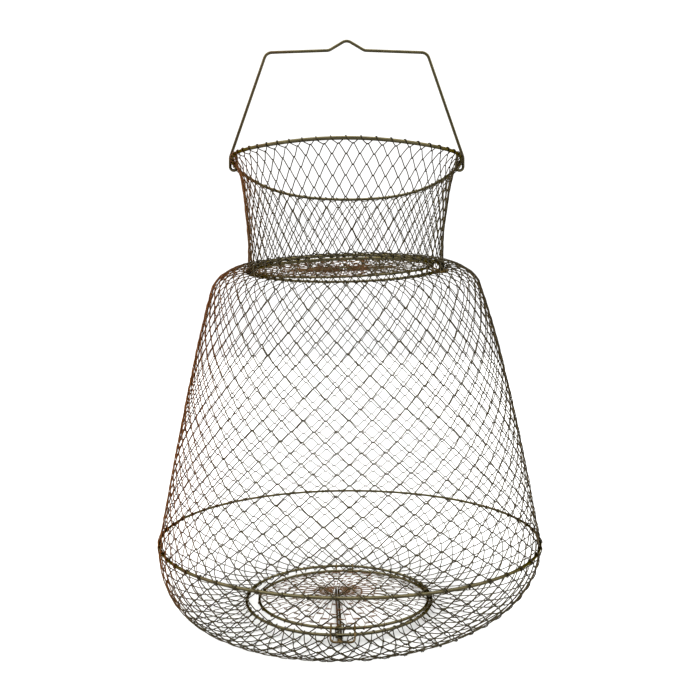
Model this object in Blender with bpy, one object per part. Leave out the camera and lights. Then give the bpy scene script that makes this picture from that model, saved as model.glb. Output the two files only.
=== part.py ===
# Collapsible wire keep net: woven wire walls on four hoops, a sprung lid in the neck,
# a bottom door with a sliding hairpin latch, and a wire bail that hooks round the rim.
# Metres, +Z up. The front faces -Y. The origin is on the floor under the middle of the belly hoop.
import math

import bpy
import bmesh
from mathutils import Matrix, Vector

MM = 0.001

# Overall sizes
BELLY_RADIUS = 165.0 * MM
BELLY_HEIGHT = 65.2 * MM
NECK_RADIUS = 86.4 * MM
NECK_HEIGHT = 299.0 * MM
RIM_RADIUS = 101.8 * MM
RIM_HEIGHT = 385.9 * MM
BOTTOM_RADIUS = 82.4 * MM
BOTTOM_HEIGHT = 5.6 * MM
BAIL_RISE = 121.0 * MM          # rim to the peak of the bail
BAIL_TOP_HALF = 72.5 * MM       # half the width between the bail's shoulders
BAIL_PEAK_HALF = 16.0 * MM
BAIL_PEAK_RISE = 9.6 * MM

# How the hoops hang: the springy net lets each one settle a little off the middle
RIM_SHIFT = -3.0 * MM
NECK_SHIFT = -4.0 * MM
BOTTOM_SHIFT = -9.7 * MM
RIM_SIDE_RISE = 9.0 * MM        # the bail draws the two sides of the rim up
NECK_LEAN = 0.015               # rise of the neck hoop towards the front, per unit of depth
NECK_TILT = 0.0226              # and towards the right, per unit of width

# Wires and net
RIM_WIRE = 2.8 * MM
HOOP_WIRE = 2.4 * MM
BAIL_WIRE = 2.6 * MM
STOP_WIRE = 1.6 * MM
LINK_WIRE = 1.2 * MM
COLLAR_WIRE = 1.2 * MM
LATCH_WIRE = 1.9 * MM
SPRING_WIRE = 0.9 * MM
WALL = 1.0 * MM                 # thickness of a woven wall
FLAT_NET = 0.8 * MM             # thickness of the lid's and the door's net
STRAND = 0.9 * MM

# Lid, door and latch
LID_ROOM = 6.4 * MM             # neck hoop to lid ring, wire middles
LID_RADIUS = NECK_RADIUS - LID_ROOM
LID_RISE = math.radians(2.15)   # the lid's far side stands a little high
LID_ROLL = math.radians(1.36)
DOOR_ROOM = 7.1 * MM            # bottom hoop to door ring, wire middles
DOOR_RADIUS = BOTTOM_RADIUS - DOOR_ROOM
DOOR_SHIFT = BOTTOM_SHIFT + 4.1 * MM
DOOR_BACK_HEIGHT = 3.0 * MM
DOOR_FRONT_HEIGHT = 7.9 * MM
DOOR_STOP_HALF = 9.4 * MM        # half the width of the door's stop loop
COLLAR_RADIUS = 11.4 * MM
DOOR_COLLAR_X = -6.4 * MM
DOOR_COLLAR_Y = 14.0 * MM
LATCH_OVERLAP = 4.5 * MM        # how far the latch's nose reaches past the middle of the bottom hoop
LATCH_TAIL = 7.0 * MM           # the tail's place behind the middle of the door
LATCH_PRONG = 6.0 * MM
LATCH_NOSE_X = -7.7 * MM
LATCH_SKEW = math.radians(2.35)
LATCH_HALF_WIDTH = 1.15 * MM
GUIDE_TURN = math.radians(40)   # the guide loop's slant across the ring and the latch
SPRING_PITCH = 1.38 * MM
SPRING_TURNS = 8
SPRING_LID_LEG = 24.0 * MM
SPRING_NECK_LEG = 18.0 * MM
SPRING_LEG_RISE = 0.85 * MM     # how far the lid leg comes up from the coil towards the net

# Clearances
FIT = 0.3 * MM                  # between pieces that rest on each other
LINK_PLAY = 0.6 * MM            # inside a hinge link
HOOK_PLAY = 0.4 * MM            # inside a hook bent round a ring
LID_STOP_PLAY = 0.3 * MM        # more room under the neck hoop
DOOR_STOP_PLAY = 0.4 * MM       # more room over the bottom hoop
SPRING_PLAY = 0.55 * MM         # neck hoop to the inside of the spring's turns
LID_PLAY = 0.45 * MM            # the outside of the spring's turns to the lid ring
EYE_PLAY = 0.5 * MM             # beside the rim in the bail's eyes
EYE_DROP = 2.7 * MM             # rim to the middle of the eye's lower bend
EYE_TAIL = 9.4 * MM             # rim to the end of the wire that closes the eye
NOTCH = 2.2 * MM                # extra room in a wall's edge at the links
LATCH_NOTCH = 5.5 * MM
EYE_NOTCH = 9.0 * MM
CROWD = 0.3 * MM                # least distance between two rings of a wall where a notch pushes them together

# Where the spring and the lid ring sit round the neck hoop
SPRING_RADIUS = HOOP_WIRE / 2 + SPRING_PLAY + SPRING_WIRE / 2       # middle of the spring's wire
LID_OFFSET = SPRING_RADIUS + SPRING_WIRE / 2 + LID_PLAY + HOOP_WIRE / 2     # hinge axis to lid ring

# Fineness
ROUND = 48                      # points round a hoop or a wall
FLAT_MESHES = 28                # meshes round the lid's and the door's net
FLAT_ROWS = 5
LINK_STEP = math.radians(360 / FLAT_MESHES / 2)

BRASS = (0.42, 0.36, 0.16)
DARK_WIRE = (0.10, 0.09, 0.07)
BRONZE_WIRE = (0.16, 0.11, 0.07)
SPRING_STEEL = (0.35, 0.31, 0.18)


def clear_scene():
    for item in list(bpy.data.objects):
        bpy.data.objects.remove(item, do_unlink=True)


def make_material(name, colour, roughness, metallic):
    material = bpy.data.materials.new(name)
    material.use_nodes = True
    shader = material.node_tree.nodes["Principled BSDF"]
    shader.inputs["Base Color"].default_value = (*colour, 1.0)
    shader.inputs["Roughness"].default_value = roughness
    shader.inputs["Metallic"].default_value = metallic
    return material


def share(value, low, high):
    """How far value is from low to high, kept between 0 and 1."""
    return min(1.0, max(0.0, (value - low) / (high - low)))


def hoop_shift(height):
    """Sideways settling of the wall at a height."""
    if height < BELLY_HEIGHT:
        return BOTTOM_SHIFT * (1 - share(height, BOTTOM_HEIGHT, BELLY_HEIGHT)) ** 2
    if height < NECK_HEIGHT:
        return NECK_SHIFT * share(height, BELLY_HEIGHT, NECK_HEIGHT) ** 2
    return NECK_SHIFT + (RIM_SHIFT - NECK_SHIFT) * share(height, NECK_HEIGHT, RIM_HEIGHT)


def on_wall(radius, height, angle):
    """A point of the hoops and walls, with the way they hang."""
    x = radius * math.cos(angle)
    y = radius * math.sin(angle)
    rise = RIM_SIDE_RISE * math.cos(angle) ** 4 * share(height, NECK_HEIGHT, RIM_HEIGHT) ** 2
    if height < NECK_HEIGHT:
        lean = share(height, BELLY_HEIGHT, NECK_HEIGHT)
    else:
        lean = 1 - share(height, NECK_HEIGHT, RIM_HEIGHT)
    return Vector((x + hoop_shift(height), y, height + rise + lean * (NECK_TILT * x - NECK_LEAN * y)))


def smooth_through(points, steps):
    """A smooth curve through a few points in a plane."""
    ends = [2 * Vector(points[0]) - Vector(points[1])]
    ends += [Vector(p) for p in points]
    ends += [2 * Vector(points[-1]) - Vector(points[-2])]
    curve = []
    for before, start, end, after in zip(ends, ends[1:], ends[2:], ends[3:]):
        for step in range(steps):
            t = step / steps
            curve.append(
                0.5 * (2 * start + (end - before) * t
                       + (2 * before - 5 * start + 4 * end - after) * t ** 2
                       + (3 * start - before - 3 * end + after) * t ** 3)
            )
    curve.append(ends[-2])
    return curve


def neck_outline():
    """Rim to neck hoop, as radius and height."""
    flare = ((1, 1), (0.65, 0.93), (0.41, 0.8), (0.16, 0.52), (0.02, 0.3), (0, 0))
    return smooth_through(
        [(NECK_RADIUS + u * (RIM_RADIUS - NECK_RADIUS), NECK_HEIGHT + v * (RIM_HEIGHT - NECK_HEIGHT))
         for u, v in flare], 1)


def side_outline():
    """Neck hoop, over the shoulder, to the belly hoop."""
    shoulder = ((0, 1), (0.14, 1), (0.27, 0.98), (0.37, 0.95), (0.424, 0.905),
                (0.584, 0.703), (0.79, 0.379), (1, 0))
    return smooth_through(
        [(NECK_RADIUS + u * (BELLY_RADIUS - NECK_RADIUS), BELLY_HEIGHT + v * (NECK_HEIGHT - BELLY_HEIGHT))
         for u, v in shoulder], 2)


def base_outline():
    """Belly hoop down a quarter round to the flat underside, and up to the bottom hoop."""
    low = WALL / 2
    depth = BELLY_HEIGHT - low
    reach = min(depth, 0.8 * (BELLY_RADIUS - BOTTOM_RADIUS))
    centre = BELLY_RADIUS - reach
    bowl = [(centre + reach * math.cos(t * math.pi / 14), BELLY_HEIGHT - depth * math.sin(t * math.pi / 14))
            for t in range(8)]
    flat_end = (BOTTOM_RADIUS + 9.5 * MM, low)
    rise = smooth_through([flat_end, (BOTTOM_RADIUS + 5.0 * MM, low + 1.0 * MM),
                           (BOTTOM_RADIUS, BOTTOM_HEIGHT)], 2)
    return [Vector(p) for p in bowl] + rise


def walk(outline, distance):
    """The point and direction at a distance along an outline."""
    for start, end in zip(outline, outline[1:]):
        length = (end - start).length
        if distance <= length or end is outline[-1]:
            direction = (end - start).normalized()
            return start + direction * distance, direction
        distance -= length


def outline_marks(outline):
    """The distance from the start to each point of an outline."""
    marks = [0.0]
    for start, end in zip(outline, outline[1:]):
        marks.append(marks[-1] + (end - start).length)
    return marks


def near(angle, side, reach=math.radians(9)):
    """1 at a side of the wall and 0 away from it, over whole steps of the hoop."""
    turn = abs((angle - side + math.pi) % (2 * math.pi) - math.pi)
    return 1.0 if turn < reach else 0.0


def add_object(name, data, material, pivot=None):
    item = bpy.data.objects.new(name, data)
    bpy.context.scene.collection.objects.link(item)
    item.data.materials.append(material)
    item.parent = pivot
    return item


def into(pivot, points):
    """World points as seen from a pivot."""
    if pivot is None:
        return points
    back = PLACES[pivot.name].inverted()
    return [back @ point for point in points]


def net_wall(name, outline, start_gap, end_gap, material, pivot=None):
    """A thin closed wall round the outline, trimmed by a gap at each edge."""
    marks = outline_marks(outline)
    length = marks[-1]
    points = []
    for step in range(ROUND):
        angle = 2 * math.pi * step / ROUND
        first, last = start_gap(angle), length - end_gap(angle)
        outer, inner = [], []
        for ring, mark in enumerate(marks):
            low = first + ring * CROWD
            high = last - (len(marks) - 1 - ring) * CROWD
            middle, along = walk(outline, min(max(mark, low), high))
            out = Vector((-along.y, along.x)) * WALL / 2
            outer.append(on_wall(middle.x + out.x, middle.y + out.y, angle))
            inner.append(on_wall(middle.x - out.x, middle.y - out.y, angle))
        points += outer + inner[::-1]
    count = 2 * len(marks)
    mesh = bpy.data.meshes.new(name)
    faces = []
    for step in range(ROUND):
        here, there = step * count, (step + 1) % ROUND * count
        for k in range(count):
            nxt = (k + 1) % count
            faces.append((here + k, here + nxt, there + nxt, there + k))
    mesh.from_pydata(into(pivot, points), [], faces)
    close_up(mesh)
    return add_object(name, mesh, material, pivot)


def close_up(mesh):
    """Turns the faces outwards and shades the round surfaces smooth."""
    work = bmesh.new()
    work.from_mesh(mesh)
    bmesh.ops.recalc_face_normals(work, faces=work.faces)
    work.to_mesh(mesh)
    work.free()
    mesh.shade_smooth()
    mesh.set_sharp_from_angle(angle=math.radians(40))


def wire(name, points, diameter, material, pivot=None, closed=False):
    """A round wire along a path."""
    curve = bpy.data.curves.new(name, "CURVE")
    curve.dimensions = "3D"
    spline = curve.splines.new("POLY")
    spline.points.add(len(points) - 1)
    for point, place in zip(spline.points, into(pivot, points)):
        point.co = (*place, 1.0)
    spline.use_cyclic_u = closed
    curve.bevel_depth = diameter / 2
    curve.bevel_resolution = 1
    curve.use_fill_caps = not closed
    return add_object(name, curve, material, pivot)


def rounded(corners, radius, steps=4):
    """A path through corners, with an arc in place of each inner corner."""
    path = [corners[0]]
    for before, corner, after in zip(corners, corners[1:], corners[2:]):
        back, ahead = (before - corner).normalized(), (after - corner).normalized()
        half = back.angle(ahead) / 2
        cut = min(radius / math.tan(half), 0.45 * (before - corner).length, 0.45 * (after - corner).length)
        bend = cut * math.tan(half)
        middle = corner + (back + ahead).normalized() * bend / math.sin(half)
        first, last = corner + back * cut - middle, corner + ahead * cut - middle
        for step in range(steps + 1):
            path.append(middle + first.slerp(last, step / steps).normalized() * bend)
    path.append(corners[-1])
    return path


def hoop(name, radius, height, diameter, material, pivot=None):
    points = [on_wall(radius, height, 2 * math.pi * step / ROUND) for step in range(ROUND)]
    return wire(name, points, diameter, material, pivot, closed=True)


def flat_ring(name, frame, centre, radius, diameter, material, pivot, count=ROUND):
    points = []
    for step in range(count):
        angle = 2 * math.pi * step / count
        points.append(frame @ Vector((centre.x + radius * math.cos(angle), centre.y + radius * math.sin(angle), 0)))
    return wire(name, points, diameter, material, pivot, closed=True)


def link(name, first, second, across, radius, diameter, material, pivot):
    """A long closed link round two wires; across points along the wires."""
    along = (second - first).normalized()
    side = across.cross(along).normalized()
    points = []
    for middle, start in ((second, 0.0), (first, math.pi)):
        for step in range(7):
            turn = start + math.pi * step / 6 - math.pi / 2
            points.append(middle + (along * math.cos(turn) + side * math.sin(turn)) * radius)
    return wire(name, points, diameter, material, pivot, closed=True)


def stop_loop(name, feet, out, up, path, turn_from, material, pivot):
    """A U of wire: each foot is hooked round a ring, the legs follow path, and a bar joins them."""
    hook = HOOP_WIRE / 2 + HOOK_PLAY + STOP_WIRE / 2
    legs = []
    for foot in feet:
        leg = []
        for step in range(9):
            turn = turn_from * (math.pi / 2 + math.radians(240) * (1 - step / 8))
            leg.append(foot + (out * math.cos(turn) + up * math.sin(turn)) * hook)
        corners = [leg[-1]] + [foot + out * a + up * b for a, b in path]
        legs.append((leg[:-1], corners))
    (first_hook, first), (last_hook, last) = legs
    middle = rounded(first + last[::-1], 3.0 * MM)
    return wire(name, first_hook + middle + last_hook[::-1], STOP_WIRE, material, pivot)


def flat_net(name, frame, radius, middle, short_tips, material, pivot):
    """A flat net of diamonds drawn in to a collar: solid strands of even width round open gaps."""
    inner = COLLAR_RADIUS + COLLAR_WIRE / 2 + FIT + 0.2 * MM
    rings = []
    for row in range(FLAT_ROWS + 1):
        part = row / FLAT_ROWS
        size = radius + (inner - radius) * part
        turn = 0.5 * (row % 2)
        ring = []
        for step in range(FLAT_MESHES):
            angle = 2 * math.pi * (step + turn) / FLAT_MESHES
            out = size
            if row == 0 and any(near(angle, tip, LINK_STEP / 2) for tip in short_tips):
                out -= NOTCH
            ring.append(Vector((middle.x * part + out * math.cos(angle), middle.y * part + out * math.sin(angle))))
        rings.append(ring)
    work = bmesh.new()
    corners = {}

    def corner(key, place, height):
        if (key, height) not in corners:
            corners[key, height] = work.verts.new(frame @ Vector((place.x, place.y, height)))
        return corners[key, height]

    for row in range(FLAT_ROWS - 1):
        for step in range(FLAT_MESHES):
            left = step if row % 2 else (step - 1) % FLAT_MESHES
            right = (left + 1) % FLAT_MESHES
            keys = [(row, step), (row + 1, right), (row + 2, step), (row + 1, left)]
            outer = [rings[r][s] for r, s in keys]
            gap = inset(outer, STRAND / 2)
            for height in (FLAT_NET / 2, -FLAT_NET / 2):
                for k in range(4):
                    n = (k + 1) % 4
                    work.faces.new((
                        corner(keys[k], outer[k], height), corner(keys[n], outer[n], height),
                        corner((row, step, n), gap[n], height), corner((row, step, k), gap[k], height)))
            for k in range(4):
                n = (k + 1) % 4
                work.faces.new((
                    corner((row, step, k), gap[k], FLAT_NET / 2), corner((row, step, n), gap[n], FLAT_NET / 2),
                    corner((row, step, n), gap[n], -FLAT_NET / 2), corner((row, step, k), gap[k], -FLAT_NET / 2)))
    rim_edges = [edge for edge in work.edges if len(edge.link_faces) == 1]
    upper = {corners[key, FLAT_NET / 2]: corners[key, -FLAT_NET / 2] for key, height in list(corners) if height > 0}
    for edge in rim_edges:
        a, b = edge.verts
        if a in upper and b in upper:
            work.faces.new((a, b, upper[b], upper[a]))
    work.transform(PLACES[pivot.name].inverted())
    mesh = bpy.data.meshes.new(name)
    work.to_mesh(mesh)
    work.free()
    close_up(mesh)
    return add_object(name, mesh, material, pivot)


def inset(polygon, width):
    """The polygon with each side moved in by width."""
    count = len(polygon)
    area = sum(polygon[k].x * polygon[(k + 1) % count].y - polygon[(k + 1) % count].x * polygon[k].y
               for k in range(count))
    turn = 1 if area > 0 else -1
    moved = []
    for k in range(count):
        start, end = polygon[k], polygon[(k + 1) % count]
        along = (end - start).normalized()
        inward = Vector((-along.y, along.x)) * turn * width
        moved.append((start + inward, along))
    corners = []
    for k in range(count):
        (p, u), (q, v) = moved[k - 1], moved[k]
        cross = u.x * v.y - u.y * v.x
        corners.append(p + u * (((q - p).x * v.y - (q - p).y * v.x) / cross))
    return corners


def add_pivot(name, place, parent=None):
    """An empty on a joint's axis, carried by the piece it is joined to."""
    pivot = bpy.data.objects.new(name, None)
    bpy.context.scene.collection.objects.link(pivot)
    PLACES[name] = place
    pivot.parent = parent
    pivot.matrix_basis = PLACES[parent.name].inverted() @ place if parent else place
    return pivot


def bail_path(side_x, side_z, centre_x):
    """From the tail of one eye, under the rim, up the leg and over to the other eye."""
    beside = RIM_WIRE / 2 + EYE_PLAY + BAIL_WIRE / 2
    top = RIM_HEIGHT + BAIL_RISE
    bar = top - BAIL_PEAK_RISE
    half = []
    tail = Vector((side_x - beside + 1.2 * MM, 0, side_z + EYE_TAIL))
    half.append(tail)
    for step in range(9):
        turn = math.pi + math.pi * step / 8
        half.append(Vector((side_x + beside * math.cos(turn), 0, side_z - EYE_DROP + beside * math.sin(turn))))
    knee = Vector((side_x + beside, 0, side_z + 6.0 * MM))
    half += rounded([half[-1], knee, Vector((BAIL_TOP_HALF, 0, bar - 2.0 * MM)), Vector((BAIL_PEAK_HALF, 0, bar)),
                     Vector((0, 0, top)), Vector((-BAIL_PEAK_HALF, 0, bar))], 7.0 * MM, 3)[1:-1]
    peak = max(range(len(half)), key=lambda k: half[k].z)
    half = half[:peak + 1]
    other = [Vector((-p.x, p.y, p.z)) for p in half[::-1] if p.x > 1e-6]
    return [Vector((p.x + centre_x, p.y, p.z)) for p in half + other]


def spring_path(middle, radius_out):
    """Coil round the hoop, one leg under the lid and one up the neck wall."""
    per_turn = 9
    count = SPRING_TURNS * per_turn
    half = SPRING_PITCH * SPRING_TURNS / 2
    start = -math.pi / 2
    end = start + 2 * math.pi * (SPRING_TURNS + 0.25)
    coil = []
    for step in range(count + 1):
        part = step / count
        turn = start + (end - start) * part
        coil.append(middle + Vector((SPRING_RADIUS * math.cos(turn), half * (2 * part - 1),
                                     SPRING_RADIUS * math.sin(turn))))
    lid_leg = coil[0] + Vector((SPRING_LID_LEG, 0, SPRING_LID_LEG * math.sin(LID_RISE) + SPRING_LEG_RISE))
    neck_leg = coil[-1] + Vector((radius_out, 0, SPRING_NECK_LEG))
    return [lid_leg] + coil + [neck_leg]


def least_gap(points, diameter, skip):
    """The least gap between stretches of one wire that aren't neighbours."""
    least = 1.0
    for i, p in enumerate(points):
        for q in points[i + skip:]:
            least = min(least, (p - q).length)
    return least - diameter


PLACES = {}


def build():
    clear_scene()
    brass = make_material("brass_plated_wire", BRASS, 0.35, 1.0)
    dark = make_material("woven_wire", DARK_WIRE, 0.5, 0.8)
    bronze = make_material("gathered_wire", BRONZE_WIRE, 0.5, 0.8)
    steel = make_material("spring_wire", SPRING_STEEL, 0.3, 1.0)

    # Joint places
    neck = add_pivot("neck_slide", Matrix.Translation((NECK_SHIFT, 0, NECK_HEIGHT)))
    rim = add_pivot("rim_slide", Matrix.Translation((RIM_SHIFT, 0, RIM_HEIGHT)), neck)
    rim_side = RIM_HEIGHT + RIM_SIDE_RISE
    bail = add_pivot("bail_pivot", Matrix.Translation((RIM_SHIFT, 0, rim_side)), rim)
    link_y = LID_RADIUS * math.sin(LINK_STEP)
    neck_side = math.sqrt(NECK_RADIUS ** 2 - link_y ** 2)
    lid_place = (Matrix.Translation((NECK_SHIFT - neck_side, 0, NECK_HEIGHT - NECK_TILT * neck_side))
                 @ Matrix.Rotation(LID_ROLL, 4, "X") @ Matrix.Rotation(-LID_RISE, 4, "Y"))
    lid = add_pivot("lid_pivot", lid_place, neck)
    door_link_x = DOOR_RADIUS * math.sin(LINK_STEP)
    door_back = DOOR_RADIUS * math.cos(LINK_STEP)
    door_tilt = math.asin((DOOR_FRONT_HEIGHT - DOOR_BACK_HEIGHT) / (2 * DOOR_RADIUS))
    door_place = (Matrix.Translation((DOOR_SHIFT, door_back, DOOR_BACK_HEIGHT)) @ Matrix.Rotation(-door_tilt, 4, "X"))
    door = add_pivot("door_pivot", door_place)
    latch_height = BOTTOM_HEIGHT - HOOP_WIRE / 2 - FIT - LATCH_WIRE / 2
    nose = Vector((LATCH_NOSE_X, -BOTTOM_RADIUS - LATCH_OVERLAP, latch_height))
    latch_place = Matrix.Translation(nose) @ Matrix.Rotation(LATCH_SKEW, 4, "Z")
    latch = add_pivot("latch_slide", latch_place, door)

    # Hoops
    half_rim, half_hoop = RIM_WIRE / 2 + FIT, HOOP_WIRE / 2 + FIT
    hoop("rim_hoop", RIM_RADIUS, RIM_HEIGHT, RIM_WIRE, brass, rim)
    hoop("neck_hoop", NECK_RADIUS, NECK_HEIGHT, HOOP_WIRE, brass, neck)
    hoop("belly_hoop", BELLY_RADIUS, BELLY_HEIGHT, HOOP_WIRE, brass)
    hoop("bottom_hoop", BOTTOM_RADIUS, BOTTOM_HEIGHT, HOOP_WIRE, brass)

    # Woven walls, cut back where the eyes, links and latch pass through them
    left, right, back, front = math.pi, 0.0, math.pi / 2, -math.pi / 2
    eye = math.radians(4)
    net_wall("neck_net", neck_outline(),
             lambda a: half_rim + EYE_NOTCH * max(near(a, left, eye), near(a, right, eye)),
             lambda a: half_hoop + NOTCH * near(a, left), dark, neck)
    net_wall("side_net", side_outline(),
             lambda a: half_hoop + NOTCH * near(a, left), lambda a: half_hoop, dark)
    net_wall("base_net", base_outline(), lambda a: half_hoop,
             lambda a: half_hoop + max(NOTCH * near(a, back), LATCH_NOTCH * near(a, front)), dark)

    # Bail
    wire("bail_handle", bail_path(RIM_RADIUS, rim_side, RIM_SHIFT), BAIL_WIRE, brass, bail)

    # Lid
    lid_middle = Vector((LID_OFFSET + LID_RADIUS * math.cos(LINK_STEP), 0))
    lid_frame = lid_place @ Matrix.Translation((lid_middle.x, 0, 0))
    zero = Vector((0, 0))
    net_radius = LID_RADIUS * math.cos(math.pi / ROUND) - HOOP_WIRE / 2 - FIT
    flat_ring("lid_ring", lid_frame, zero, LID_RADIUS, HOOP_WIRE, brass, lid)
    flat_net("lid_net", lid_frame, net_radius, zero, [], bronze, lid)
    flat_ring("lid_net_collar", lid_frame, zero, COLLAR_RADIUS, COLLAR_WIRE, brass, lid, 20)
    link_size = HOOP_WIRE / 2 + LINK_PLAY + LINK_WIRE / 2
    for place, side in (("front", -1), ("rear", 1)):
        first = lid_place @ Vector((0, side * link_y, 0))
        second = lid_place @ Vector((LID_OFFSET, side * link_y, 0))
        link("lid_hinge_link_" + place, first, second, lid_place.to_3x3() @ Vector((0, 1, 0)),
             link_size, LINK_WIRE, steel, lid)
    out, up = lid_place.to_3x3() @ Vector((1, 0, 0)), lid_place.to_3x3() @ Vector((0, 0, 1))
    feet = [lid_frame @ Vector((LID_RADIUS * math.cos(LINK_STEP), side * link_y, 0)) for side in (-1, 1)]
    under = HOOP_WIRE / 2 + FIT + STOP_WIRE / 2
    hoop_out = NECK_SHIFT + NECK_RADIUS - feet[0].x
    neck_right = on_wall(NECK_RADIUS, NECK_HEIGHT, right).z - NECK_LEAN * link_y
    drop = (neck_right - under - LID_STOP_PLAY - feet[1].z - out.z * hoop_out) / up.z
    stop_loop("lid_stop_loop", feet, out, up,
              ((hoop_out - 4.0 * MM, drop), (hoop_out + 5.0 * MM, drop)), -1, steel, lid)
    coil_end = SPRING_PITCH * SPRING_TURNS / 2
    hoop_sag = (NECK_RADIUS - math.sqrt(NECK_RADIUS ** 2 - coil_end ** 2)) / 2
    neck_left = on_wall(NECK_RADIUS, NECK_HEIGHT, left)
    path = spring_path(neck_left + Vector((hoop_sag, 0, 0)), 0.2 * MM)
    wire("lid_spring", path, SPRING_WIRE, steel, neck)
    print("lid_spring least gap to itself, mm:", round(least_gap(path, SPRING_WIRE, 5) / MM, 3))

    # Bottom door
    door_frame = door_place @ Matrix.Translation((0, -door_back, 0))
    collar = Vector((DOOR_COLLAR_X, DOOR_COLLAR_Y))
    door_net_radius = DOOR_RADIUS * math.cos(math.pi / ROUND) - HOOP_WIRE / 2 - FIT
    flat_ring("door_ring", door_frame, zero, DOOR_RADIUS, HOOP_WIRE, brass, door)
    flat_net("door_net", door_frame, door_net_radius, collar, [front], bronze, door)
    flat_ring("door_net_collar", door_frame, collar, COLLAR_RADIUS, COLLAR_WIRE, brass, door, 20)
    hoop_back = math.sqrt(BOTTOM_RADIUS ** 2 - (DOOR_SHIFT - BOTTOM_SHIFT + door_link_x) ** 2)
    for place, side in (("left", -1), ("right", 1)):
        x = DOOR_SHIFT + side * door_link_x
        hoop_y = math.sqrt(BOTTOM_RADIUS ** 2 - (x - BOTTOM_SHIFT) ** 2)
        link("door_hinge_link_" + place, Vector((x, door_back, DOOR_BACK_HEIGHT)),
             Vector((x, hoop_y, BOTTOM_HEIGHT)), Vector((1, 0, 0)), link_size, LINK_WIRE, steel, None)
    out, up = door_place.to_3x3() @ Vector((0, -1, 0)), door_place.to_3x3() @ Vector((0, 0, 1))
    stop_out = math.sqrt(DOOR_RADIUS ** 2 - DOOR_STOP_HALF ** 2)
    feet = [door_frame @ Vector((side * DOOR_STOP_HALF, -stop_out, 0)) for side in (-1, 1)]
    over = BOTTOM_HEIGHT + under + DOOR_STOP_PLAY - feet[0].z
    hoop_out = BOTTOM_RADIUS + feet[0].y
    stop_loop("door_stop_loop", feet, out, up,
              ((hoop_out + 1.0 * MM, over), (hoop_out + 7.5 * MM, over - 5.4 * MM)), 1, steel, door)

    # Latch
    tail = nose.y - LATCH_TAIL
    pair = [latch_place @ Vector((side * LATCH_HALF_WIDTH, y, z))
            for side, y, z in ((-1, -tail, LATCH_PRONG), (-1, -tail, 0), (-1, 0, 0), (1, 0, 0), (1, -tail, 0),
                               (1, -tail, LATCH_PRONG))]
    wire("latch_hairpin", rounded(pair, LATCH_HALF_WIDTH * 0.96), LATCH_WIRE, steel, latch)
    guide = door_frame @ Vector((0, -DOOR_RADIUS, 0))
    guide_x = (latch_place @ Vector((0, -nose.y - DOOR_RADIUS, 0))).x
    low = latch_height - LATCH_WIRE / 2 - FIT - LINK_WIRE / 2
    high = guide.z + HOOP_WIRE / 2 + FIT + LINK_WIRE / 2
    half = (LATCH_HALF_WIDTH + LATCH_WIRE / 2 + FIT + LINK_WIRE / 2) / math.cos(GUIDE_TURN)
    box = [Vector((guide_x + x * math.cos(GUIDE_TURN), guide.y + x * math.sin(GUIDE_TURN), z)) for x, z in
           ((0, low), (half, low), (half, high), (-half, high), (-half, low), (0, low))]
    wire("latch_guide_loop", rounded(box, 1.2 * MM)[:-1], LINK_WIRE, steel, door, closed=True)

    print("bail axis, m:", [round(v, 5) for v in bail_axis(rim_side)])
    print("lid axis point, m:", [round(v, 5) for v in lid_place.translation],
          "direction:", [round(v, 5) for v in lid_place.to_3x3() @ Vector((0, 1, 0))])
    print("door axis point, m:", [round(v, 5) for v in door_place.translation])
    print("latch slides along:", [round(v, 5) for v in latch_place.to_3x3() @ Vector((0, 1, 0))])


def bail_axis(rim_side):
    return (RIM_SHIFT, 0.0, rim_side)


build()
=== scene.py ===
import math

import bpy
import numpy as np
from mathutils import Matrix, Vector


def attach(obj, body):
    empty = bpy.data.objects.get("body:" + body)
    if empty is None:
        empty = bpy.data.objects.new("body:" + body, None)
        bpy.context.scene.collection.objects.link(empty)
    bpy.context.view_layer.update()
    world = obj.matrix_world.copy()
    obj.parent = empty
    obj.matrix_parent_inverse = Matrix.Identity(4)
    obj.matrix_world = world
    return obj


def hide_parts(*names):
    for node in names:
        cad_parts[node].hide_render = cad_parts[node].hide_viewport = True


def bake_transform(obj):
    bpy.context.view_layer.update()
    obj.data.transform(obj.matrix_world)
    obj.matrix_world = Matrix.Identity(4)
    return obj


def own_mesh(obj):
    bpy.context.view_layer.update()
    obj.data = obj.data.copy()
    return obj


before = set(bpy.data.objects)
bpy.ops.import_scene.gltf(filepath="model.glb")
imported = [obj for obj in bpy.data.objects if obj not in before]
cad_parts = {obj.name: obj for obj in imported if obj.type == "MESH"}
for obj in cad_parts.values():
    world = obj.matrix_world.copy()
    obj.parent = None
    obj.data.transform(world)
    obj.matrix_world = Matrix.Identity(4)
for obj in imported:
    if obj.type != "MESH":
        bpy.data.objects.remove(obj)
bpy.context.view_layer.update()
print("frame loaded:", len(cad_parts), "nodes")

mm = 0.001
pi = math.pi

cage = {                        # the four hoops: wire middles, and how the springy net lets them settle
    "rimRadius": 101.8 * mm, "rimHeight": 385.9 * mm, "rimShift": -3.0 * mm, "rimSideRise": 9.0 * mm,
    "neckRadius": 86.4 * mm, "neckHeight": 299.0 * mm, "neckShift": -4.0 * mm, "neckLean": 0.015,
    "neckTilt": 0.0226,
    "bellyRadius": 165.0 * mm, "bellyHeight": 65.2 * mm,
    "bottomRadius": 82.4 * mm, "bottomHeight": 5.6 * mm, "bottomShift": -9.7 * mm,
    "rimWire": 2.8 * mm, "hoopWire": 2.4 * mm, "points": 240,
}

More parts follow.
